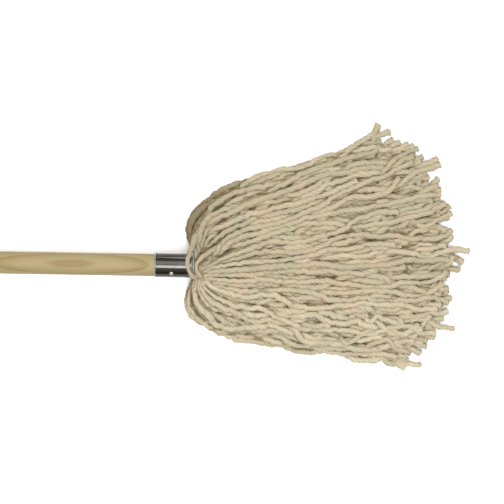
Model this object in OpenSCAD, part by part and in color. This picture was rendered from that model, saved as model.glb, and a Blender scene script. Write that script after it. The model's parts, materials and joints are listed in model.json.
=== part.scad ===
// String mop: a wooden pole in a pressed steel socket, with a head of cotton yarn
// folded over a cross pin in the socket's mouth. It lies flat, on z = -floor_drop.
// Frame: +X runs along the pole towards the yarn, +Z is up, and the origin is on the
// pole's axis where the pole enters the socket.

/* [Pole] */
// Diameter of the round wooden pole
pole_d = 24; // [20:0.5:30]
// Length of pole that stands out of the socket
pole_out = 1172; // [800:10:1500]
// Depth of the pole's seat inside the socket
pole_seat = 14; // [12:1:15]
// How much the pole's radius is turned down at its seat
seat_cut = 0.5; // [0.4:0.1:0.8]
// Height of the domed free end
dome_h = 6; // [3:0.5:8]
// Diameter of the hanging hole
hang_d = 7; // [4:0.5:9]
// Distance from the free end to the hanging hole
hang_in = 35; // [25:1:60]
// Angle at which the pole rises from its free end to the head, in degrees
lean = 1; // [0.8:0.1:1.3]

/* [Socket] */
// Length of the steel socket
socket_len = 42; // [38:0.5:48]
// Thickness of the socket's wall
wall = 1.3; // [1:0.1:1.6]
// Radius of the rolled bead on the socket's pole end
bead_r = 0.9; // [0.5:0.1:1.2]
// How far the mouth's rim flares out
flare = 1.4; // [0.8:0.1:1.6]
// Length of the flared stretch
flare_len = 4; // [3:0.5:6]

/* [Fasteners] */
// Diameter of the cross pin that holds the folded yarn
pin_d = 2.6; // [2:0.1:3.2]
// Distance from the mouth back to the cross pin
pin_in = 24; // [20:0.5:25]
// Direction of the cross pin around the socket, from straight up, in degrees
pin_turn = 43; // [0:1:90]
// Diameter of the nails that fix the socket to the pole
nail_d = 1.8; // [1.4:0.1:2.4]
// Length of a nail under its head
nail_len = 9; // [6:0.5:10]
// Number of nails round the socket
nail_count = 2; // [1:1:3]

/* [Yarn] */
// Locks side by side across the head
locks_across = 8; // [6:1:10]
// Layers of locks on top of each other
layers = 3; // [2:1:4]
// How far the middle of the head reaches past the mouth
reach = 287.5; // [240:2.5:320]
// Half the width of the head at its tips
half_w = 134; // [100:2:140]
// Sideways lean of the head's middle at its tips
drift = 25; // [0:1:30]
// Height of the yarn next to the socket
neck_h = 54; // [50:1:58]
// Height of the yarn at its tips
tip_h = 20; // [14:1:26]

/* [Hidden] */

fine = 96;              // facets of round work
gap = 0.05;             // radial room between pieces that are fixed together
pole_r = pole_d / 2;
seat_r = pole_r - seat_cut;
tube_in = seat_r + gap;
tube_out = tube_in + wall;
rim_r = tube_out + flare;
head_h = 0.9;           // height of a nail's or the pin's head
floor_drop = (pole_out - dome_h) * sin(lean) + pole_r * cos(lean);
mouth = [socket_len * cos(lean), 0, socket_len * sin(lean)];

// Yarn: plan curves are cubic, from a ring round the mouth to the tips
ring_r = rim_r + 2;     // inner ends of the locks, clear of the rim as the pole swings up
exit_turn = 100;        // plan angle at which the outermost yarn leaves the mouth
bulge_mid = 60;         // reach of the first control point, middle and edge of the head
bulge_edge = 84;
run_in = 150;           // length of the straight run in to the tips
tip_turn = 14;          // how far the tips splay at the head's edges
edge_short = 66;        // how much sooner the edges end, measured along the pole
stations = 12;          // rings of points along a lock
side_gap = 0.011;       // gap between neighbouring locks, as a share of the half width
layer_gap = 0.3;        // half of the gap between two layers
bulb_r = rim_r - 0.1;   // ball of packed yarn just outside the mouth

function lock_name(row, col) = str("yarn_lock_", ["bottom", "middle", "top", "crown"][row], "_", col + 1);

function turned(a) = [cos(a), sin(a)];
function tips(t) = [reach - edge_short * pow(abs(t), 3) - 4 * t, drift + half_w * t];
function tip_way(t) = turned(8 + tip_turn * t);
function mix3(a, b, c, d, s) =
    a * pow(1 - s, 3) + 3 * b * s * pow(1 - s, 2) + 3 * c * s * s * (1 - s) + d * pow(s, 3);
// Plan point of the strand at width t (-1 to 1), a share s of the way to its tip
function plan(t, s) = mix3(
    ring_r * turned(exit_turn * t),
    (bulge_mid + (bulge_edge - bulge_mid) * t * t) * turned(exit_turn * t),
    tips(t) - run_in * tip_way(t),
    tips(t),
    s
);
// Height of the whole pile of yarn at the same place
function pile(t, s) = (tip_h + (neck_h - tip_h) * exp(-pow(s / 0.45, 2))) * (1 - 0.4 * t * t);
function yarn_point(t, s, share) =
    let (p = plan(t, s)) [mouth.x + p.x, p.y, -floor_drop + share * pile(t, s)];

// Lengths differ from lock to lock, as cut yarn does
function lock_end(row, col) = 0.955 + 0.05 * sin(137 * (row * locks_across + col));

module along_pole(x) {
    rotate([0, -lean, 0])
        translate([x, 0, 0])
            rotate([0, 90, 0])
                children();
}

// A round piece set into the side of the socket, at x along it, turned from straight up
module through_wall(x, turn) {
    rotate([0, -lean, 0])
        translate([x, 0, 0])
            rotate([turn, 0, 0])
                children();
}

function nail_turn(i) = 180 + (i - (nail_count - 1) / 2) * 80;
nail_x = pole_seat / 2;

module pole() {
    dome_r = (pole_r * pole_r + dome_h * dome_h) / (2 * dome_h);
    color("#d6bf86")
        difference() {
            union() {
                along_pole(-pole_out + dome_h)
                    cylinder(r = pole_r, h = pole_out - dome_h, $fn = fine);
                along_pole(0)
                    cylinder(r = seat_r, h = pole_seat, $fn = fine);
                along_pole(-pole_out)
                    intersection() {
                        translate([0, 0, dome_r])
                            sphere(r = dome_r, $fn = fine);
                        cylinder(r = pole_r, h = dome_h, $fn = fine);
                    }
            }
            along_pole(-pole_out + hang_in)
                rotate([90, 0, 0])
                    cylinder(d = hang_d, h = 2 * pole_d, center = true, $fn = fine);
            for (i = [0:nail_count - 1])
                through_wall(nail_x, nail_turn(i))
                    translate([0, 0, tube_out - nail_len - gap])
                        cylinder(r = nail_d / 2 + gap, h = pole_d, $fn = fine);
        }
}

module socket() {
    color("#8d8d8a")
        difference() {
            along_pole(0)
                rotate_extrude($fn = fine) {
                    polygon([
                        [tube_in, bead_r],
                        [tube_out, bead_r],
                        [tube_out, socket_len - flare_len],
                        [tube_out + 0.35 * flare, socket_len - flare_len / 2],
                        [rim_r, socket_len - wall / 2],
                        [rim_r - wall, socket_len - wall / 2],
                        [tube_in, socket_len - flare_len]
                    ]);
                    translate([rim_r - wall / 2, socket_len - wall / 2])
                        circle(r = wall / 2, $fn = fine);
                    translate([tube_in + bead_r + gap, bead_r])
                        circle(r = bead_r, $fn = fine);
                }
            through_wall(socket_len - pin_in, pin_turn)
                cylinder(r = pin_d / 2 + gap, h = 2 * pole_d, center = true, $fn = fine);
            for (i = [0:nail_count - 1])
                through_wall(nail_x, nail_turn(i))
                    cylinder(r = nail_d / 2 + gap, h = pole_d, $fn = fine);
        }
}

// Domed head whose flat side is at z = 0
module head(d) {
    r = (d * d / 4 + head_h * head_h) / (2 * head_h);
    intersection() {
        translate([0, 0, head_h - r])
            sphere(r = r, $fn = fine);
        cylinder(d = d, h = head_h, $fn = fine);
    }
}

module pole_nails() {
    color("#a9a596")
        for (i = [0:nail_count - 1])
            through_wall(nail_x, nail_turn(i)) {
                translate([0, 0, tube_out - nail_len])
                    cylinder(d = nail_d, h = nail_len + gap, $fn = fine);
                translate([0, 0, tube_out + gap])
                    head(2 * nail_d);
            }
}

module cross_pin() {
    pin_reach = tube_out + gap;
    color("#c9bf9c")
        through_wall(socket_len - pin_in, pin_turn) {
            cylinder(d = pin_d, h = 2 * pin_reach, center = true, $fn = fine);
            for (side = [0, 180])
                rotate([side, 0, 0])
                    translate([0, 0, pin_reach])
                        head(1.7 * pin_d);
        }
}

// The folded middle of the hank, packed round the pin, and the ball it makes at the mouth
module yarn_core() {
    core_len = socket_len - pole_seat - gap;
    color("#c9bb93")
        difference() {
            union() {
                along_pole(pole_seat + gap)
                    cylinder(r = tube_in - gap, h = core_len - flare_len, $fn = fine);
                along_pole(socket_len - flare_len)
                    cylinder(r1 = tube_in - gap, r2 = rim_r - wall - gap, h = flare_len, $fn = fine);
                intersection() {
                    translate(mouth)
                        sphere(r = bulb_r, $fn = fine);
                    along_pole(socket_len)
                        cylinder(r = 2 * bulb_r, h = 2 * bulb_r, $fn = fine);
                }
            }
            through_wall(socket_len - pin_in, pin_turn)
                cylinder(r = pin_d / 2 + gap, h = 2 * pole_d, center = true, $fn = fine);
        }
}

// One lock of yarn: a bar of six-sided section that follows the fan from the ring to its tips
module yarn_lock(row, col) {
    step = 2 / locks_across;
    t_lo = -1 + step * col + side_gap / 2;
    t_hi = -1 + step * (col + 1) - side_gap / 2;
    t_mid = (t_lo + t_hi) / 2;
    corners = [[t_lo, 0], [t_mid, 0], [t_hi, 0], [t_hi, 1], [t_mid, 1], [t_lo, 1]];
    n = len(corners);
    low = row == 0 ? 0 : layer_gap;
    high = row == layers - 1 ? 0 : layer_gap;
    points = [
        for (k = [0:stations]) for (c = corners)
            yarn_point(c[0], lock_end(row, col) * k / stations, (row + c[1]) / layers)
                + [0, 0, c[1] == 0 ? low : -high]
    ];
    last = stations * n;
    sides = [
        for (k = [0:stations - 1]) for (c = [0:n - 1])
            let (a = k * n + c, b = k * n + (c + 1) % n)
                each [[a, a + n, b], [b, a + n, b + n]]
    ];
    caps = concat(
        [[0, 1, 5], [1, 4, 5], [1, 2, 4], [2, 3, 4]],
        [for (f = [[0, 5, 1], [1, 5, 4], [1, 4, 2], [2, 4, 3]]) [for (i = f) last + i]]
    );
    color((row + col) % 2 == 0 ? "#cfc19a" : "#c1b187")
        polyhedron(points = points, faces = concat(sides, caps));
}

pole();
socket();
pole_nails();
cross_pin();
yarn_core();
for (row = [0:layers - 1]) for (col = [0:locks_across - 1])
    yarn_lock(row, col);
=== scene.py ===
"""String mop lying flat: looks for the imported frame. Lengths are in metres, in the row frame."""
import json

import bpy
import numpy as np
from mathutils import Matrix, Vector


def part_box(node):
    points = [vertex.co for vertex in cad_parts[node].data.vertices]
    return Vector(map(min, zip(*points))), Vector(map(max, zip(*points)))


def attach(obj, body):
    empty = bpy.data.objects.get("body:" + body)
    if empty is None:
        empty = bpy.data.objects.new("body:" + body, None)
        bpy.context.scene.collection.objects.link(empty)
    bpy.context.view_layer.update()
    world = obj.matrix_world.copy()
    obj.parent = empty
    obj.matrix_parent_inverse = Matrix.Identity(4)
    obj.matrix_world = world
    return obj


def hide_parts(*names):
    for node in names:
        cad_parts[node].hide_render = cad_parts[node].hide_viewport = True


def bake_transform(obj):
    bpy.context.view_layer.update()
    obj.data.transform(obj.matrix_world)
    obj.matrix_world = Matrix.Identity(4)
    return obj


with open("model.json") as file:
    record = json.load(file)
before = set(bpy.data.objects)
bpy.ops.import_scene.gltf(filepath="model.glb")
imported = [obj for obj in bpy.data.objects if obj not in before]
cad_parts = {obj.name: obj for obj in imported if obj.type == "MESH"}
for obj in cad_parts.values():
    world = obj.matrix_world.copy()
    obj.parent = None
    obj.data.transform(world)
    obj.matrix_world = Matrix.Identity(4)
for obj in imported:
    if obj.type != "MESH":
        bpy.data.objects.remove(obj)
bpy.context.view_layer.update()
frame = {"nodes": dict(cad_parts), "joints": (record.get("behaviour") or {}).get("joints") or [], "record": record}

MM = 0.001

# ---------------------------------------------------------------- places read from the frame
JOINT = frame["joints"][0]
MOUTH = np.array(JOINT["pos_m"], float)
FLOOR_Z = float(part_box("yarn_lock_bottom_4")[0][2])
SOCKET_LO, SOCKET_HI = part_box("socket")
LOCK_ROWS = ["bottom", "middle", "top"]
LOCKS_ACROSS = 8
GRIP = next(m for m in frame["record"]["mounts"] if m["name"] == "pole_grip")
AXIS = -np.array(GRIP["axis"], float)  # along the pole, towards the yarn
POLE_R = GRIP["dims"]["r_mm"] * MM
RIM_R = (SOCKET_HI[1] - SOCKET_LO[1]) / 2

# ---------------------------------------------------------------- the camera
# Looks straight down on the head. The pole is level in the picture to within a degree.
VIEW_WIDTH = 0.538  # width of the picture at the mouth's height
VIEW_HEIGHT = 1.9
VIEW_CENTRE = MOUTH + np.array([61.2, 15.6, 0]) * MM
VIEW_ROLL = -0.95  # degrees


def unit(v):
    return v / np.maximum(np.linalg.norm(v, axis=-1, keepdims=True), 1e-12)


def make_camera():
    data = bpy.data.cameras.new("view")
    data.sensor_fit = "HORIZONTAL"
    data.angle = 2 * np.arctan(VIEW_WIDTH / 2 / VIEW_HEIGHT)
    data.clip_start = 0.05
    data.clip_end = 50
    camera = bpy.data.objects.new("view", data)
    bpy.context.scene.collection.objects.link(camera)
    camera.location = VIEW_CENTRE + np.array([0, 0, VIEW_HEIGHT])
    camera.rotation_euler = (0, 0, np.radians(-VIEW_ROLL))
    bpy.context.scene.camera = camera


make_camera()

# ---------------------------------------------------------------- yarn: the routes of the strands
rng = np.random.default_rng(20)

FULL_TURN = 6.28  # radians
STRANDS = 146
NODES_ALONG = 58
STRAND_R = 3.4 * MM
CONTACT_R = 2.92 * MM  # strands are soft, so they press into each other a little
START_BACK = 8 * MM  # strands start this far inside the socket
FIRST_FREE = 3  # how many points at the start of each strand stay in place
EDGE_CROWD = 0.05  # how much closer strands are at the head's edges
EXIT_TURN = 98  # plan angle at which the outermost strands leave the mouth, in degrees
RISE_TURN = 130  # angle between the lowest and the highest strand as they leave it
INSIDE_R = 8.0 * MM  # the strands' ring inside the socket
INSIDE_SPREAD = 1.3 * MM
APEX = np.array([2.0, -9.6, 11.0])  # where the top of the hank leaves the mouth, mm from its centre
OVER_FROM = 0.30  # layers at which strands begin to leave at the apex, and at which they all do
OVER_ALL = 0.62
LAYER_STEP = 0.618034  # neighbours in width lie in different layers
LAYER_FIRST = 0.11

# How the strands differ from one another. Shares are of the guide's length.
LONG_SHARE = 0.68  # share of the strands that end at the edge of the head
LONG_ENDS = (0.975, 1.0)
SHORT_ENDS = (0.80, 0.975)
END_BEND = 13 * MM  # typical sideways bend of the last stretch, and of the very end
END_HOOK = 7 * MM
STRAY_BEND = 0.2  # how much of its bend a stray end keeps
SLANT = 0.17  # typical drift across the head, as a share of its half width
WEAVE = (0.015, 0.085)  # slow weave across the head, as a share of its half width
WEAVE_CYCLES = (1.0, 2.8)
EDGE_FROM = 0.9  # widths past this one are held back, so that strands stay in the head
EDGE_ROOM = 0.12
GUIDE_LENGTH = 300  # about the length of a guide strand, mm
CRIMP = ((52, 1.0), (31, 0.8), (20, 0.45))  # waves in the plan, as (wave in mm, size)
LIFT = ((46, 1.0), (29, 0.7), (20, 0.45))  # and in height
LIFT_SHARE = 0.6
CRIMP_RANGE = (0.4, 1.5)
CRIMP_NECK = 0.4  # size of the crimp near the mouth in mm, and what is added at the tips
CRIMP_TIP = 2.4
KINKY_SHARE = 0.4  # share of the strands with more crimp at the tips, and how much more
KINKY = 2.2
PILE_TIP = 30  # height of the pile before it settles in mm, and what is added at the mouth
PILE_NECK = 42

# Guide strands from one side of the head to the other, mm from the mouth's centre in plan:
# the first and second control point past the mouth, and the tip.
GUIDE_WIDTHS = (-1, -0.5, 0, 0.5, 1)
GUIDE_OUT = ((-56, -90), (36, -50), (54, 0), (36, 55), (-64, 90))
GUIDE_IN = ((66, -67), (122, -31), (135, 6), (116, 42), (102, 84))
GUIDE_TIP = ((233, -97), (272, -42), (279, 16), (265, 84), (211, 145))

# Strands that cross the mouth on top of the others: points (mm) that the start of each one follows,
# the width it runs to and the share of that width's strand where it joins it.
OVER_SOCKET = (
    (2.0, -8, 7), (1.2, -13.2, 9.8), (-4.2, -8.0, 14.6), (-6.8, -1.3, 16.2), (-7.4, 3.3, 16.4),
    (-5.8, 10.1, 15), (-4.2, 14.7, 14.3), (-2.7, 21.6, 14), (-0.4, 27, 14), (2.3, 35.3, 13), (6, 44, 12),
)
OVER_MOUTH = (
    (1.5, -9, 9), (8.5, -12, 11), (6.2, -9.5, 12.5), (3.2, -6.4, 14), (2.2, -2.6, 15),
    (2.6, 1.9, 15.4), (5.5, 6.6, 15.2), (11.5, 12, 15), (20.5, 20, 15),
)
OVER_RIM = ((0.5, 7.5, 7.5), (2.6, 11, 10.8), (3.4, 17, 14), (4.5, 26, 14.5), (8, 36, 13.5))
CROSSING = ((OVER_SOCKET, 0.86, 0.30), (OVER_MOUTH, 0.42, 0.24), (OVER_RIM, 0.80, 0.27))

FIXED_Y = 24 * MM  # the crossing strands stay in place up to here, and sink on the pile from here on

# Only the crossing strands cover this stretch of the rim's top, measured from the mouth's centre.
BARE_X = 4.2 * MM
BARE_Y = (-7 * MM, 18 * MM)
BARE_Z = 6 * MM

# Ends that stray out of the head: width, and share of the guide's length
STRAYS = (
    (1.0, 0.87), (0.97, 0.945), (0.74, 1.02), (0.68, 1.03), (0.22, 1.0), (0.03, 1.03), (0.0, 1.015),
    (-0.08, 1.01), (-0.63, 1.03), (-0.71, 1.0), (-0.90, 1.0), (-0.98, 1.02), (-1.0, 0.97),
)


def smooth(x, lo, hi):
    """0 below lo, 1 above hi, and an S-curve between."""
    x = np.clip((x - lo) / (hi - lo), 0, 1)
    return x * x * (3 - 2 * x)


def guide(points, t):
    """Plan point at width t (-1 to 1) of a smooth curve through the points of the guide strands."""
    fits = [np.polyfit(GUIDE_WIDTHS, [p[k] * MM for p in points], len(GUIDE_WIDTHS) - 1) for k in (0, 1)]
    return np.stack([np.polyval(fit, t) for fit in fits], -1)


def plan(t, s, start):
    """Plan point, from the mouth, of the strand at width t, a share s of the way from start to its tip."""
    b, c, tip = guide(GUIDE_OUT, t), guide(GUIDE_IN, t), guide(GUIDE_TIP, t)
    s = s[..., None]
    return start * (1 - s) ** 3 + 3 * b * s * (1 - s) ** 2 + 3 * c * s * s * (1 - s) + tip * s**3


def even_route(points):
    """NODES_ALONG points at equal steps along a polyline."""
    steps = np.linalg.norm(np.diff(points, axis=0), axis=1)
    travel = np.concatenate([[0], np.cumsum(steps)])
    at = np.linspace(0, travel[-1], NODES_ALONG)
    return np.stack([np.interp(at, travel, points[:, k]) for k in range(3)], 1)


def waves(s, lengths):
    """A sum of sines of random phase along each strand, for lengths of (wave in mm, size)."""
    total = np.zeros_like(s)
    for length_mm, size in lengths:
        k = FULL_TURN * GUIDE_LENGTH / length_mm * rng.uniform(0.85, 1.15, (len(s), 1))
        total += size * np.sin(k * s + rng.uniform(0, FULL_TURN, (len(s), 1)))
    return total


def strand_ends(width, layer):
    """Each strand's end as a share of the guide's length, and the bend and hook of its last stretch.

    Some strands are made strays: they take on a stray's width.
    """
    count = len(width)
    is_long = rng.uniform(0, 1, count) < LONG_SHARE
    end = np.where(is_long, rng.uniform(*LONG_ENDS, count), rng.uniform(*SHORT_ENDS, count))
    bend = rng.normal(0, END_BEND, count)
    hook = rng.normal(0, END_HOOK, count)
    for stray_width, stray_end in STRAYS:
        k = int(np.argmin(np.abs(width - stray_width) + 0.1 * (layer < 0.5)))
        width[k] = stray_width
        end[k] = stray_end
        bend[k] *= STRAY_BEND
        hook[k] = 0
    return end, bend, hook


def width_along(width, over, s, end):
    """Each strand's place across the head (-1 to 1) at each share s of its way."""
    count = len(width)
    slant = rng.normal(0, SLANT, count)[:, None]
    size = rng.uniform(*WEAVE, count)[:, None]
    cycles = rng.uniform(*WEAVE_CYCLES, count)[:, None]
    wander = slant * (s - 0.4 * end[:, None]) * smooth(s, 0.25, 0.6) * (1 - smooth(s, 0.75, 1.0))
    weave = np.sin(FULL_TURN * (cycles * s + rng.uniform(0, 1, (count, 1))))
    wander = wander + size * weave * smooth(s, 0.22, 0.5)
    t = width[:, None] * (1 - 0.10 * over[:, None] * (1 - smooth(s, 0.3, 0.9))) + wander
    held = np.sign(t) * (EDGE_FROM + EDGE_ROOM * np.tanh((np.abs(t) - EDGE_FROM) / EDGE_ROOM))
    return np.where(np.abs(t) > EDGE_FROM, held, t)


def start_points(width, over):
    """Plan points where the strands leave the mouth: low ones right across it, the others at the apex."""
    count = len(width)
    low = np.stack([np.full(count, 3 * MM), 7 * MM * np.sin(np.radians(EXIT_TURN * width))], -1)
    apex = APEX[:2] * MM + np.stack([rng.uniform(-0.5, 4, count), rng.normal(0, 1.6, count)], -1) * MM
    return low * (1 - over[:, None]) + apex * over[:, None]


def crimped(xy, s, width, bend, hook):
    """The plan points with crimp across each strand, stronger towards its tip, and the crimp's height."""
    count = len(xy)
    way = np.gradient(xy, axis=1)
    way /= np.linalg.norm(way, axis=2, keepdims=True)
    across = np.stack([-way[..., 1], way[..., 0]], -1)
    crimp = waves(s, CRIMP)
    lift = waves(s, LIFT)
    vary = rng.uniform(*CRIMP_RANGE, (count, 1))
    kinky = np.where(rng.uniform(0, 1, (count, 1)) < KINKY_SHARE, KINKY, 1.0)
    calm = 1 - 0.5 * smooth(width, 0.0, 0.6)[:, None]
    size = CRIMP_NECK + CRIMP_TIP * smooth(s, 0.55, 0.92) * kinky
    size = size * smooth(s, 0.12, 0.35) * vary * calm * MM
    end_bend = bend[:, None] * smooth(s, 0.70, 1.05) ** 2 + hook[:, None] * smooth(s, 0.90, 1.0) ** 2
    return xy + across * (crimp * size + end_bend)[..., None], lift * size * LIFT_SHARE


def heights(xy, s, width, layer, over, rise):
    """Heights of the strands: a sheaf as they leave the mouth, then layers of the pile."""
    r = np.linalg.norm(xy, axis=2)
    drop = MOUTH[2] - FLOOR_Z
    pile = (PILE_TIP + PILE_NECK * np.exp(-((s / 0.4) ** 2))) * (1 - 0.35 * width[:, None] ** 2) * MM
    z_layer = -drop + STRAND_R + layer[:, None] * pile
    z_start = rise * 9 * MM * (1 - over[:, None]) + APEX[2] * MM * over[:, None]
    z_exit = z_start + (rise * 27 * MM - z_start) * np.clip(r / (30 * MM), 0, 1)
    w = smooth(r, 24 * MM, 95 * MM)
    return z_exit * (1 - w) + z_layer * w


def pack_in_socket(routes, width, over, rise):
    """Places the first points of each route: two packed inside the socket, one at the mouth."""
    count = len(routes)
    side = np.sin(np.radians(EXIT_TURN * width)) * np.cos(np.arcsin(rise[:, 0]))
    away = np.stack([side, rise[:, 0]], -1)
    toward = unit(APEX[1:] * np.ones((count, 1)))
    inner = (away * (1 - over[:, None]) + toward * over[:, None]) * INSIDE_R
    inner = inner + rng.normal(0, INSIDE_SPREAD, (count, 2))
    inner *= np.minimum(1, 1.15 * INSIDE_R / np.linalg.norm(inner, axis=1, keepdims=True))
    stages = ((-START_BACK, 0.8), (-0.35 * START_BACK, 0.95), (2.5 * MM, 1.15))
    for node, (x, open_share) in enumerate(stages):
        routes[:, node, 0] = x
        routes[:, node, 1:] = inner * open_share


def lay_crossings(routes, width, layer):
    """Lays the crossing strands over the mouth, and says how many points of each strand stay in place."""
    pinned = np.full(len(routes), FIRST_FREE)
    taken = set()
    for points, run_to, joins in CROSSING:
        order = np.argsort(np.abs(width - run_to) + 0.5 * (1 - layer))
        k = next(int(n) for n in order if int(n) not in taken)
        taken.add(k)
        first = np.array(points) * MM
        inside = first[[0, 0]] * [[0, 0.6, 0.6], [0, 0.75, 0.75]] - [[START_BACK, 0, 0], [1.5 * MM, 0, 0]]
        tail = routes[k, int(joins * NODES_ALONG) + 6 :]
        routes[k] = even_route(np.concatenate([inside, first, tail]))
        fixed = first[first[:, 1] < FIXED_Y]
        length = np.linalg.norm(np.diff(np.concatenate([inside, fixed]), axis=0), axis=1).sum()
        step = np.linalg.norm(routes[k, 1] - routes[k, 0])
        pinned[k] = int(length / step) - 1
    return pinned


def first_routes():
    """Starting routes (strand, node, xyz) with the mouth's centre as origin, before they settle."""
    rank = (np.arange(STRANDS) + 0.5) / STRANDS
    width = 2 * rank - 1 + rng.uniform(-0.5, 0.5, STRANDS) / STRANDS
    width = width + EDGE_CROWD * np.sin(np.pi * width)
    layer = (np.arange(STRANDS) * LAYER_STEP + LAYER_FIRST) % 1
    end, bend, hook = strand_ends(width, layer)
    s = np.linspace(0, 1, NODES_ALONG)[None, :] * end[:, None]
    over = smooth(layer, OVER_FROM, OVER_ALL)
    t = width_along(width, over, s, end)
    xy = plan(t, s, start_points(width, over)[:, None])
    xy, lift = crimped(xy, s, width, bend, hook)
    rise = np.sin(np.radians(RISE_TURN * (layer - 0.5)))[:, None]
    z = heights(xy, s, width, layer, over, rise) + lift
    routes = np.concatenate([xy, z[..., None]], 2)
    pack_in_socket(routes, width, over, rise)
    pinned = lay_crossings(routes, width, layer)
    return routes, width, layer, pinned


# ---------------------------------------------------------------- yarn: settling
SETTLE_STEPS = 260
SINK = 0.10 * MM  # fall at each step
GROW_FROM = 0.35  # share of their thickness that strands settle with at first, and what they grow by
GROW_BY = 0.65
HOLD = 0.03  # pull towards the starting route, in plan
STIFFNESS = 0.06
STRETCH_ROUNDS = 3
PUSH = 0.8  # share of an overlap that one step undoes
NECK_SQUEEZE = 0.42  # share of their thickness at the mouth, and the rest of it, gained outside
NECK_RELEASE = 0.58
FLOOR_GAP = 1.3  # height of the lowest strands' middle, in radii


def close_pairs(points, reach):
    """Index pairs of points nearer than reach, by a grid of cells."""
    cell = np.floor(points / reach).astype(np.int64)
    cell -= cell.min(0) - 1
    span = cell.max(0) + 2
    key = (cell[:, 0] * span[1] + cell[:, 1]) * span[2] + cell[:, 2]
    order = np.argsort(key, kind="stable")
    ordered = key[order]
    first, second = [], []
    for dx, dy, dz in np.ndindex(3, 3, 3):
        step = ((dx - 1) * span[1] + dy - 1) * span[2] + dz - 1
        if step < 0:
            continue
        lo = np.searchsorted(ordered, key + step, "left")
        hi = np.searchsorted(ordered, key + step, "right")
        found = hi - lo
        i = np.repeat(np.arange(len(points)), found)
        within = np.arange(found.sum()) - np.repeat(np.cumsum(found) - found, found)
        j = order[np.repeat(lo, found) + within]
        keep = i != j if step else i < j
        first.append(i[keep])
        second.append(j[keep])
    i, j = np.concatenate(first), np.concatenate(second)
    near = ((points[i] - points[j]) ** 2).sum(1) < reach * reach
    return i[near], j[near]


def keep_lengths(pos, rest, loose):
    """Moves neighbouring points of each strand to their distance at rest, every other pair at a time."""
    for parity in (0, 1):
        nodes = np.arange(parity, pos.shape[1] - 1, 2)
        a, b = pos[:, nodes], pos[:, nodes + 1]
        wa, wb = loose[:, nodes, None], loose[:, nodes + 1, None]
        d = b - a
        length = np.linalg.norm(d, axis=2)
        push = d / np.maximum(length, 1e-9)[..., None] * (length - rest[:, nodes])[..., None]
        push = push / np.maximum(wa + wb, 1)
        pos[:, nodes] += push * wa
        pos[:, nodes + 1] -= push * wb


def push_apart(flat, i, j, radius, free, grow):
    """Moves the points of pairs i, j apart where they are nearer than their thickness."""
    d = flat[j] - flat[i]
    length = np.linalg.norm(d, axis=1)
    want = (radius[i] + radius[j]) * grow
    hit = length < want
    ii, jj = i[hit], j[hit]
    share_i = free[ii] / np.maximum(free[ii] + free[jj], 1)
    share_j = free[jj] / np.maximum(free[ii] + free[jj], 1)
    push = d[hit] / np.maximum(length[hit], 1e-9)[:, None] * (want[hit] - length[hit])[:, None]
    total = np.zeros_like(flat)
    touched = np.bincount(ii, minlength=len(flat)) + np.bincount(jj, minlength=len(flat))
    for axis in range(3):
        total[:, axis] = np.bincount(jj, push[:, axis] * share_j, len(flat))
        total[:, axis] -= np.bincount(ii, push[:, axis] * share_i, len(flat))
    flat += total / np.maximum(touched, 1)[:, None] ** 0.5 * PUSH


def settle(routes, pinned):
    """Lets the strands sink on the floor and on each other, as ropes that can't go through each other."""
    count, nodes_each, _ = routes.shape
    pos = routes.copy()
    rest = np.linalg.norm(np.diff(pos, axis=1), axis=2)
    strand_of = np.repeat(np.arange(count), nodes_each)
    node_of = np.tile(np.arange(nodes_each), count)
    loose = (np.arange(nodes_each)[None, :] >= pinned[:, None]).astype(float)
    travel = np.concatenate([np.zeros((count, 1)), np.cumsum(rest, 1)], 1)
    squeeze = NECK_SQUEEZE + NECK_RELEASE * smooth(travel, 8 * MM, 72 * MM)
    radius = (CONTACT_R * squeeze).reshape(-1)
    floor = FLOOR_Z - MOUTH[2] + FLOOR_GAP * STRAND_R * squeeze.reshape(-1)
    free = loose.reshape(-1)
    plain = (free > 0) & np.repeat(pinned == pinned.min(), nodes_each)
    hold = HOLD * (1 - 0.6 * smooth(travel, 120 * MM, 260 * MM)) * loose
    for step in range(SETTLE_STEPS):
        grow = GROW_FROM + GROW_BY * min(1.0, step / (0.6 * SETTLE_STEPS))
        pos[..., 2] -= SINK * loose
        pos[..., :2] += (routes[..., :2] - pos[..., :2]) * hold[..., None]
        for _ in range(STRETCH_ROUNDS):
            keep_lengths(pos, rest, loose)
        middle = (pos[:, :-2] + pos[:, 2:]) / 2 - pos[:, 1:-1]
        pos[:, 1:-1] += STIFFNESS * middle * loose[:, 1:-1, None]
        flat = pos.reshape(-1, 3)
        if step % 4 == 0:
            i, j = close_pairs(flat, 2.6 * CONTACT_R)
            far = (strand_of[i] != strand_of[j]) | (np.abs(node_of[i] - node_of[j]) > 3)
            i, j = i[far], j[far]
        push_apart(flat, i, j, radius, free, grow)
        # the outside of the socket
        from_axis = np.linalg.norm(flat[:, 1:], axis=1)
        clear = RIM_R + radius
        inside = (flat[:, 0] < 1 * MM) & (free > 0) & (from_axis < clear)
        flat[inside, 1:] *= (clear[inside] / np.maximum(from_axis[inside], 1e-6))[:, None]
        # a stretch of the rim's top stays bare
        over_rim = (flat[:, 0] < BARE_X) & plain & (flat[:, 2] > BARE_Z)
        over_rim &= (flat[:, 1] > BARE_Y[0]) & (flat[:, 1] < BARE_Y[1])
        flat[over_rim, 0] = BARE_X
        flat[:, 2] = np.maximum(flat[:, 2], np.where(free > 0, floor, -1))
        pos = flat.reshape(count, nodes_each, 3)
    return pos


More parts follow.
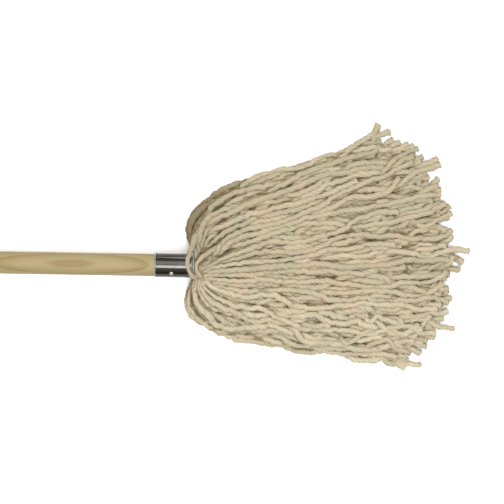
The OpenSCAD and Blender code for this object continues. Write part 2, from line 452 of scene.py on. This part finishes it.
# ---------------------------------------------------------------- yarn: from routes to twisted strands
PLIES = 4
SIDES = 24
RINGS = 226
TWIST_PITCH = 20 * MM
PITCH_RANGE = (0.82, 1.25)
THICK_RANGE = (0.86, 1.10)
NECK_THICK = 0.46  # share of its thickness that a strand has in the socket, and what it gains outside
NECK_GAIN = 0.54
CREVICE = 0.14  # depth of the groove between two plies, as a share of the radius
ROUGH = 0.035  # unevenness of the surface, as a share of the radius
SHIVER = 0.28 * MM  # size of a fine shiver of the strand's line, as plied yarn has, and its waves
SHIVER_WAVES = (8.5 * MM, 12.5 * MM)
LOOSE_GROOVE = 0.08  # how much deeper the grooves are at a cut end, and how much thicker the strand is
LOOSE_SWELL = 0.16
# painted shade deep in the pile: how much browner, the cell it is measured in, and the depths where it begins and
# is full
SHADE = 0.85  # how much browner the yarn is deep in the pile
SHADE_CELL = 5 * MM
SHADE_FROM = 2.0 * MM  # depths at which the shade begins and is full
SHADE_FULL = 9 * MM


def spline(routes, count):
    """Catmull-Rom points along each route, count of them."""
    nodes = routes.shape[1]
    u = np.linspace(0, nodes - 1, count)
    k = np.minimum(u.astype(int), nodes - 2)
    f = (u - k)[None, :, None]
    at = [routes[:, np.clip(k + d, 0, nodes - 1)] for d in (-1, 0, 1, 2)]
    return 0.5 * (
        2 * at[1]
        + (at[2] - at[0]) * f
        + (2 * at[0] - 5 * at[1] + 4 * at[2] - at[3]) * f**2
        + (3 * at[1] - at[0] - 3 * at[2] + at[3]) * f**3
    )


def carried_frames(centres):
    """Two directions across each centreline that turn with it and don't spin."""
    tangent = unit(np.gradient(centres, axis=1))
    side = np.zeros_like(centres)
    start = unit(np.cross(tangent[:, 0], np.array([0.13, 0.37, 0.92])))
    for k in range(centres.shape[1]):
        start = unit(start - (start * tangent[:, k]).sum(1, keepdims=True) * tangent[:, k])
        side[:, k] = start
    return tangent, side, np.cross(tangent, side)


def strand_points(centres, seed, packed=None):
    """Ring points (strand, ring, side, xyz), and how deep in a groove between plies each one is.

    packed is the share of its full thickness that a strand has all along; without it, a strand
    starts thin in the socket and swells to its full thickness outside.
    """
    gen = np.random.default_rng(seed)
    count, rings, _ = centres.shape
    tangent, side, other = carried_frames(centres)
    steps = np.linalg.norm(np.diff(centres, axis=1), axis=2)
    travel = np.concatenate([np.zeros((count, 1)), np.cumsum(steps, 1)], 1)
    left = travel[:, -1:] - travel
    phase = gen.uniform(0, FULL_TURN, (count, 4))
    for n, wave in enumerate(SHIVER_WAVES):
        a = np.sin(FULL_TURN * travel / wave + phase[:, n : n + 1])[..., None]
        b = np.sin(FULL_TURN * travel / (1.13 * wave) + phase[:, n + 2 : n + 3])[..., None]
        grown = smooth(travel, 15 * MM, 60 * MM)[..., None]
        centres = centres + (side * a + other * b) * SHIVER * grown
    loose = 1 - smooth(left, 1 * MM, 7 * MM)
    wobble = 0.9 * np.sin(travel / (17 * MM) + phase[:, 1:2])
    wobble = wobble + 0.5 * np.sin(travel / (7.3 * MM) + phase[:, 2:3])
    turn = gen.uniform(0, FULL_TURN, (count, 1)) + wobble
    turn = turn + 2 * np.pi * travel / (TWIST_PITCH * gen.uniform(*PITCH_RANGE, (count, 1)))
    swell = NECK_THICK + NECK_GAIN * smooth(travel, 12 * MM, 75 * MM) if packed is None else packed
    thick = STRAND_R * gen.uniform(*THICK_RANGE, (count, 1)) * swell
    lump = 0.08 * np.sin(travel / (11 * MM) + phase[:, :1])
    lump = lump + 0.05 * np.sin(travel / (4.1 * MM) + phase[:, 3:4])
    thick = thick * (1 + lump) * (1 + LOOSE_SWELL * loose)
    around = np.arange(SIDES) * 2 * np.pi / SIDES
    bump = 0.5 + 0.5 * np.cos(PLIES * around)
    fade = 0.78 + 0.40 * np.sin(travel / (9 * MM) + 3 * phase[:, 2:3])  # ridges come and go
    opened = 0.55 + 0.45 * smooth(travel, 30 * MM, 110 * MM)
    depth = (CREVICE * fade * opened + LOOSE_GROOVE * loose)[..., None]
    radius = thick[..., None] * (1 - depth * (1 - bump))
    radius = radius * (1 + ROUGH * gen.standard_normal((count, rings, SIDES)))
    angle = turn[..., None] + around
    points = (
        centres[:, :, None]
        + radius[..., None] * np.cos(angle)[..., None] * side[:, :, None]
        + radius[..., None] * np.sin(angle)[..., None] * other[:, :, None]
    )
    groove = np.broadcast_to((1 - bump) ** 2, radius.shape)
    return points, groove, tangent, travel


def depth_in_pile(points):
    """How far each ring point lies under the highest one in its own small square of the plan."""
    cell = np.floor(points[..., :2] / SHADE_CELL).astype(int)
    cell -= cell.reshape(-1, 2).min(0)
    top = np.full(cell.reshape(-1, 2).max(0) + 1, -1.0)
    np.maximum.at(top, (cell[..., 0], cell[..., 1]), points[..., 2])
    return top[cell[..., 0], cell[..., 1]] - points[..., 2]


def strand_faces(rings):
    """Quads of one closed strand of ring points with an end point at each end."""
    k, j = np.meshgrid(np.arange(rings - 1), np.arange(SIDES), indexing="ij")
    n = (j + 1) % SIDES
    quads = np.stack([k * SIDES + j, k * SIDES + n, (k + 1) * SIDES + n, (k + 1) * SIDES + j], -1)
    side = np.arange(SIDES)
    nxt = (side + 1) % SIDES
    first, last = rings * SIDES, rings * SIDES + 1
    cap_a = np.stack([nxt, side, np.full(SIDES, first)], -1)
    cap_b = np.stack([(rings - 1) * SIDES + side, (rings - 1) * SIDES + nxt, np.full(SIDES, last)], -1)
    return quads.reshape(-1, 4), np.concatenate([cap_a, cap_b])


def mesh_of_strands(name, points, groove, tangent, tint, side_shade, shade):
    """One mesh object of some strands, with their tint, groove depth, painted side shade and painted depth shade
    as attributes.
    """
    count, rings = points.shape[:2]
    quads, tris = strand_faces(rings)
    first = points[:, 0].mean(1) - tangent[:, 0] * 0.2 * MM
    last = points[:, -1].mean(1) + tangent[:, -1] * 0.9 * MM
    verts = np.concatenate([points.reshape(count, -1, 3), first[:, None], last[:, None]], 1)
    per = verts.shape[1]
    one = np.concatenate([quads.ravel(), tris.ravel()])
    loops = (one + np.arange(count)[:, None] * per).ravel()
    sizes = np.tile(np.concatenate([np.full(len(quads), 4), np.full(len(tris), 3)]), count)
    mesh = bpy.data.meshes.new(name)
    mesh.vertices.add(count * per)
    mesh.vertices.foreach_set("co", (verts + MOUTH).astype(np.float32).ravel())
    mesh.loops.add(len(loops))
    mesh.loops.foreach_set("vertex_index", loops.astype(np.int32))
    mesh.polygons.add(len(sizes))
    starts = np.concatenate([[0], np.cumsum(sizes)[:-1]])
    mesh.polygons.foreach_set("loop_start", starts.astype(np.int32))
    mesh.polygons.foreach_set("use_smooth", np.ones(len(sizes), bool))
    mesh.update(calc_edges=True)

    def attribute(label, ring_values, end_values):
        values = np.concatenate([ring_values.reshape(count, -1), end_values], 1).astype(np.float32)
        mesh.attributes.new(label, "FLOAT", "POINT").data.foreach_set("value", values.ravel())

    ones = np.ones(points.shape[:3])
    attribute("groove", groove, np.ones((count, 2)) * [1.0, 0.7])
    attribute("tint", ones * tint[:, None, None], np.repeat(tint[:, None], 2, 1))
    attribute("side_shade", ones * side_shade[..., None], np.repeat(side_shade[:, -1:], 2, 1))
    attribute("shade", shade, shade[:, -1, :2])
    obj = bpy.data.objects.new(name, mesh)
    bpy.context.scene.collection.objects.link(obj)
    return obj


# ---------------------------------------------------------------- materials
OVAL_X = -88 * MM  # middle of the oval of grain nearest to the head, along the pole
OVAL_DEPTH = 0.5 * MM  # how far under the top of the pole its ring lies
RING_WIDTH = 6.6 * MM
RING_WAVE = 420 * MM  # the rings rise and fall along the pole
RING_ARCH = 10.4 * MM
PINE_EARLY = (0.272, 0.218, 0.104, 1)
PINE_LATE = (0.186, 0.128, 0.048, 1)
PINE_STREAK = (0.262, 0.208, 0.102, 1)
PINE_CLOUD = (0.166, 0.125, 0.052, 1)
PINE_BANDS = ((0.0, 0.1), (0.06, 0.0), (0.45, 0.15), (0.74, 0.6), (0.90, 1.0), (1.0, 0.1))
COTTON_PALE = (0.44, 0.385, 0.272, 1)
COTTON_DULL = (0.285, 0.25, 0.16, 1)
COTTON_GREENISH = (0.265, 0.26, 0.178, 1)
COTTON_WARM = (0.38, 0.285, 0.188, 1)
COTTON_FIBRE = (0.53, 0.475, 0.355, 1)
# colour of the painted shade in the grooves between the plies
COTTON_GROOVE_SHADE = (0.19, 0.115, 0.045, 1)
# colour of the painted shade on the low strands at one side of the neck and near the mouth
COTTON_SIDE_SHADE = (0.160, 0.128, 0.072, 1)
# colour of the painted shade deep in the pile
COTTON_SHADE = (0.140, 0.084, 0.022, 1)
STEEL_DARK = (0.034, 0.030, 0.025, 1)
STEEL_LIGHT = (0.056, 0.054, 0.050, 1)
STEEL_WORN = (0.34, 0.335, 0.32, 1)
NAIL_DARK = (0.30, 0.27, 0.21, 1)
NAIL_LIGHT = (0.46, 0.43, 0.36, 1)
FLOOR_DARK = (0.90, 0.90, 0.895, 1)
FLOOR_LIGHT = (0.92, 0.92, 0.915, 1)
WORN_BEAD = 1.8 * MM  # length of the bright wear at the socket's pole end, and at its mouth
WORN_RIM = 8.5 * MM


class Nodes:
    """Short calls for building a material's nodes."""

    def __init__(self, name):
        self.material = bpy.data.materials.new(name)
        self.material.use_nodes = True
        self.tree = self.material.node_tree
        self.shader = self.tree.nodes["Principled BSDF"]

    def add(self, kind, inputs=None, **settings):
        node = self.tree.nodes.new(kind)
        for key, value in settings.items():
            setattr(node, key, value)
        for key, value in (inputs or {}).items():
            self.feed(node.inputs[key], value)
        return node

    def feed(self, socket, value):
        if isinstance(value, bpy.types.NodeSocket):
            self.tree.links.new(value, socket)
        else:
            socket.default_value = value

    def math(self, operation, a, b=0.0, c=0.0):
        node = self.add("ShaderNodeMath", operation=operation)
        for socket, value in zip(node.inputs, (a, b, c)):
            self.feed(socket, value)
        return node.outputs[0]

    def mix(self, share, a, b):
        node = self.add("ShaderNodeMix", data_type="RGBA")
        self.feed(node.inputs[0], share)
        self.feed(node.inputs[6], a)
        self.feed(node.inputs[7], b)
        return node.outputs[2]

    def noise(self, vector, scale, detail=3.0, rough=0.5):
        inputs = {"Vector": vector, "Scale": scale, "Detail": detail, "Roughness": rough}
        return self.add("ShaderNodeTexNoise", inputs).outputs["Fac"]

    def ramp(self, value, stops):
        """Grey levels between stops of (place, level)."""
        node = self.add("ShaderNodeValToRGB", {"Fac": value})
        while len(node.color_ramp.elements) < len(stops):
            node.color_ramp.elements.new(0.5)
        for element, (place, level) in zip(node.color_ramp.elements, stops):
            element.position = place
            element.color = (level, level, level, 1)
        return node.outputs["Color"]

    def bump(self, height, distance, strength=1.0):
        node = self.add("ShaderNodeBump", {"Height": height, "Distance": distance, "Strength": strength})
        self.tree.links.new(node.outputs[0], self.shader.inputs["Normal"])

    def set(self, **values):
        for key, value in values.items():
            self.feed(self.shader.inputs[key.replace("_", " ")], value)


def cotton():
    """Natural cotton: each strand has its own tint, with painted shade in its grooves, lower in the pile and on
    the low strands at one side of the neck.
    """
    m = Nodes("cotton_yarn")
    place = m.add("ShaderNodeTexCoord").outputs["Object"]
    tint, groove, side_shade, shade = (
        m.add("ShaderNodeAttribute", attribute_name=name).outputs["Fac"]
        for name in ("tint", "groove", "side_shade", "shade")
    )
    base = m.mix(tint, COTTON_PALE, COTTON_DULL)
    cloud = m.ramp(m.noise(place, 55, 3), [(0.38, 0), (0.62, 1)])
    base = m.mix(m.math("MULTIPLY", cloud, 0.42), base, COTTON_GREENISH)
    warm = m.ramp(m.noise(place, 31, 2), [(0.45, 0), (0.65, 1)])
    base = m.mix(m.math("MULTIPLY", warm, 0.5), base, COTTON_WARM)
    fibre = m.noise(place, 1400, 3, 0.7)
    base = m.mix(m.math("MULTIPLY", fibre, 0.3), base, COTTON_FIBRE)
    # painted shade: the grooves between the plies are made browner and darker
    base = m.mix(m.math("MULTIPLY", groove, 0.28), base, COTTON_GROOVE_SHADE)
    # painted shade on the low strands at one side of the neck and near the mouth
    base = m.mix(m.math("MULTIPLY", side_shade, 0.9), base, COTTON_SIDE_SHADE)
    # painted shade: browner the deeper the yarn lies in the pile
    base = m.mix(m.math("MULTIPLY", shade, 0.80), base, COTTON_SHADE)
    m.set(Base_Color=base, Roughness=0.92, Sheen_Weight=0.15, Sheen_Roughness=0.5)
    m.set(Specular_IOR_Level=0.2)
    m.bump(fibre, 0.5 * MM, 0.6)
    return m.material


def pine():
    """Flat-sawn softwood: wide growth rings that arch through the pole and show as ovals on top."""
    m = Nodes("pine")
    place = m.add("ShaderNodeTexCoord").outputs["Object"]
    xyz = m.add("ShaderNodeSeparateXYZ", {"Vector": place}).outputs
    lean = float(AXIS[2] / AXIS[0])
    height = m.math("SUBTRACT", xyz["Z"], m.math("MULTIPLY", xyz["X"], lean))
    phase = m.math("MULTIPLY_ADD", xyz["X"], 2 * np.pi / RING_WAVE, -2 * np.pi * OVAL_X / RING_WAVE)
    arch = m.math("MULTIPLY", m.math("SUBTRACT", 1.0, m.math("COSINE", phase)), RING_ARCH)
    stretched = m.add("ShaderNodeMapping", {"Vector": place, "Scale": (5, 26, 26)}).outputs[0]
    wander = m.math("MULTIPLY_ADD", m.noise(stretched, 1.0, 2), 0.004, -0.002)
    below_top = m.math("ADD", POLE_R - OVAL_DEPTH, wander)
    deep = m.math("ADD", m.math("SUBTRACT", arch, height), below_top)
    late = m.ramp(m.math("FRACT", m.math("DIVIDE", deep, RING_WIDTH)), PINE_BANDS)
    fine = m.add("ShaderNodeMapping", {"Vector": place, "Scale": (9, 900, 900)}).outputs[0]
    streak = m.noise(fine, 1.0, 4, 0.65)
    cloud = m.noise(stretched, 3.0, 3)
    base = m.mix(late, PINE_EARLY, PINE_LATE)
    base = m.mix(m.math("MULTIPLY", streak, 0.3), base, PINE_STREAK)
    base = m.mix(m.math("MULTIPLY", cloud, 0.30), base, PINE_CLOUD)
    m.set(Base_Color=base, Roughness=m.math("MULTIPLY_ADD", streak, 0.2, 0.42))
    m.set(Specular_IOR_Level=0.3)
    m.bump(m.math("MULTIPLY_ADD", late, 0.5, streak), 0.12 * MM, 0.4)
    return m.material


def plated_steel():
    """Dark plated sheet with drawing lines along the socket, worn bright and duller at both ends."""
    m = Nodes("plated_steel")
    place = m.add("ShaderNodeTexCoord").outputs["Object"]
    drawn = m.add("ShaderNodeMapping", {"Vector": place, "Scale": (12, 1500, 1500)}).outputs[0]
    streak = m.noise(drawn, 1.0, 3, 0.6)
    cloud = m.noise(place, 120, 4, 0.6)
    base = m.mix(cloud, STEEL_DARK, STEEL_LIGHT)
    rough = m.math("MULTIPLY_ADD", streak, 0.05, 0.11)
    x = m.add("ShaderNodeSeparateXYZ", {"Vector": place}).outputs["X"]
    for end, length in ((SOCKET_LO[0], WORN_BEAD), (SOCKET_HI[0], -WORN_RIM)):
        inward = m.math("DIVIDE", m.math("SUBTRACT", x, float(end)), length)
        worn = m.ramp(m.math("MULTIPLY_ADD", cloud, 0.4, inward), [(0.6, 1), (1.0, 0)])
        base = m.mix(worn, base, STEEL_WORN)
        rough = m.math("MULTIPLY_ADD", worn, 0.3, rough)
    m.set(Base_Color=base, Metallic=1.0, Roughness=rough)
    m.bump(streak, 0.004 * MM, 0.03)
    return m.material


def fastener_steel():
    m = Nodes("fastener_steel")
    place = m.add("ShaderNodeTexCoord").outputs["Object"]
    cloud = m.noise(place, 700, 3, 0.6)
    base = m.mix(cloud, NAIL_DARK, NAIL_LIGHT)
    m.set(Base_Color=base, Metallic=1.0, Roughness=m.math("MULTIPLY_ADD", cloud, 0.25, 0.2))
    m.bump(cloud, 0.05 * MM, 0.4)
    return m.material


def floor_finish():
    m = Nodes("studio_floor")
    place = m.add("ShaderNodeTexCoord").outputs["Object"]
    m.set(Base_Color=m.mix(m.noise(place, 3, 2), FLOOR_DARK, FLOOR_LIGHT), Roughness=0.9)
    return m.material


def put(obj, material):
    obj.data.materials.clear()
    obj.data.materials.append(material)


# ---------------------------------------------------------------- the hard parts keep their CAD shape
COTTON = cotton()
put(frame["nodes"]["pole"], pine())
put(frame["nodes"]["socket"], plated_steel())
for fastener in ("pole_nails", "cross_pin"):
    put(frame["nodes"][fastener], fastener_steel())


# ---------------------------------------------------------------- making the yarn
STRAND_SEED = 7
HANK_SEED = 11
HANK_THICK = 0.5  # share of their full thickness that the strands have inside the socket
# Loops of the hank round the cross pin, in mm: place along the pin, and radius
HANK_LOOPS = (
    (-6.6, 3.2), (-3.3, 3.2), (0, 3.2), (3.3, 3.2), (6.6, 3.2),
    (-4.6, 6.3), (-1.4, 6.3), (1.8, 6.3), (5, 6.3),
)

routes, width, layer, pinned = first_routes()
routes = settle(routes, pinned)
centres = spline(routes, RINGS)
points, groove, tangent, travel = strand_points(centres, STRAND_SEED)
tint = np.clip(0.10 + 0.82 * rng.uniform(0, 1, STRANDS) + 0.34 * width, 0, 1)
share_along = travel / travel[:, -1:]
# painted shade: the low strands at one side of the neck are darker, and on one half of the head the strands are a
# little darker near the mouth
low_side = smooth(width, 0.80, 0.99) * (1 - smooth(layer, 0.35, 0.8))
side_shade = 0.95 * low_side[:, None] * (1 - smooth(share_along, 0.25, 0.60))
side_shade = side_shade + 0.15 * smooth(width, -0.2, 0.6)[:, None] * (1 - smooth(share_along, 0.12, 0.5))
# painted shade from each point's depth under the top of the pile
shade = SHADE * smooth(depth_in_pile(points), SHADE_FROM, SHADE_FULL)
row = np.minimum((layer * len(LOCK_ROWS)).astype(int), len(LOCK_ROWS) - 1)
column = np.clip(((width + 1) / 2 * LOCKS_ACROSS).astype(int), 0, LOCKS_ACROSS - 1)


def folded_hank():
    """Centrelines of the hank's folds inside the socket: loops round the cross pin, out to the mouth."""
    lo, hi = (np.array(corner, float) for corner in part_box("cross_pin"))
    middle = (lo + hi) / 2 - MOUTH
    pin = unit(np.array([0, lo[1] - hi[1], hi[2] - lo[2]]))
    across = np.cross(pin, AXIS)
    back = -float(middle @ AXIS)
    loops = []
    for level, turn_r in HANK_LOOPS:
        half_turn = np.radians(np.linspace(-90, 90, 13))
        x = np.concatenate([[2 * MM], -back - turn_r * MM * np.cos(half_turn), [2 * MM]])
        y = turn_r * MM * np.concatenate([[-1], np.sin(half_turn), [1]])
        route = x[:, None] * AXIS + y[:, None] * across + level * MM * pin
        loops.append(even_route(route))
    return np.array(loops)


hank = spline(folded_hank(), RINGS)
hank_points, hank_groove, hank_tangent, hank_travel = strand_points(hank, HANK_SEED, HANK_THICK)
hank_tint = rng.uniform(0, 1, len(hank))
hank_fold = mesh_of_strands(
    "hank_fold", hank_points, hank_groove, hank_tangent, hank_tint, 0 * hank_travel, 0 * hank_groove
)
put(hank_fold, COTTON)
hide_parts("yarn_core")
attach(hank_fold, JOINT["child"])


for r, row_name in enumerate(LOCK_ROWS):
    for c in range(LOCKS_ACROSS):
        mine = np.flatnonzero((row == r) & (column == c))
        parts = (data[mine] for data in (points, groove, tangent, tint, side_shade, shade))
        piece = mesh_of_strands(f"strands_{row_name}_{c + 1}", *parts)
        put(piece, COTTON)
        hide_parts(f"yarn_lock_{row_name}_{c + 1}")
        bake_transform(piece)


# ---------------------------------------------------------------- studio
FLOOR_HALF = 8
SKY_COLOUR = (1, 0.98, 0.95, 1)
SKY_LOW = 0.13  # strength of the sky's light at the horizon and overhead
SKY_HIGH = 1.45
# Square lamps aimed at the picture's middle: name, place from there, size, power, colour
LAMPS = (
    ("key", (0.0, -0.36, 1.42), 0.58, 15, (0.97, 1.0, 1.04)),
    ("soft", (0.0, 0.52, 1.36), 0.9, 7, (1.0, 1.0, 1.0)),
    ("line", (0.0, 2.35, 0.50), 0.5, 9, (1.0, 1.0, 1.0)),
)


def make_floor():
    mesh = bpy.data.meshes.new("floor")
    corners = [(-1, -1), (1, -1), (1, 1), (-1, 1)]
    mesh.from_pydata([(x * FLOOR_HALF, y * FLOOR_HALF, FLOOR_Z) for x, y in corners], [], [(0, 1, 2, 3)])
    obj = bpy.data.objects.new("studio_floor", mesh)
    bpy.context.scene.collection.objects.link(obj)
    put(obj, floor_finish())


def make_lamps():
    for name, place, size, power, colour in LAMPS:
        data = bpy.data.lights.new(name, "AREA")
        data.shape = "SQUARE"
        data.size = size
        data.energy = power
        data.color = colour
        lamp = bpy.data.objects.new(name, data)
        bpy.context.scene.collection.objects.link(lamp)
        lamp.location = VIEW_CENTRE + np.array(place)
        lamp.rotation_euler = Vector(-unit(np.array(place))).to_track_quat("-Z", "Y").to_euler()


def make_sky():
    """Light that grows from the horizon upwards. Where the camera sees it, its strength is at least 1."""
    world = bpy.data.worlds.new("studio")
    world.use_nodes = True
    nodes, links = world.node_tree.nodes, world.node_tree.links
    up = nodes.new("ShaderNodeSeparateXYZ")
    links.new(nodes.new("ShaderNodeTexCoord").outputs["Generated"], up.inputs[0])
    share = nodes.new("ShaderNodeMapRange")
    share.interpolation_type = "SMOOTHSTEP"
    share.inputs["To Min"].default_value = SKY_LOW
    share.inputs["To Max"].default_value = SKY_HIGH
    links.new(up.outputs["Z"], share.inputs["Value"])
    brighter = nodes.new("ShaderNodeMath")
    brighter.operation = "MAXIMUM"
    links.new(share.outputs[0], brighter.inputs[0])
    links.new(nodes.new("ShaderNodeLightPath").outputs["Is Camera Ray"], brighter.inputs[1])
    links.new(brighter.outputs[0], nodes["Background"].inputs["Strength"])
    nodes["Background"].inputs["Color"].default_value = SKY_COLOUR
    bpy.context.scene.world = world


make_floor()
make_lamps()
make_sky()
bpy.context.scene.view_settings.view_transform = "Standard"
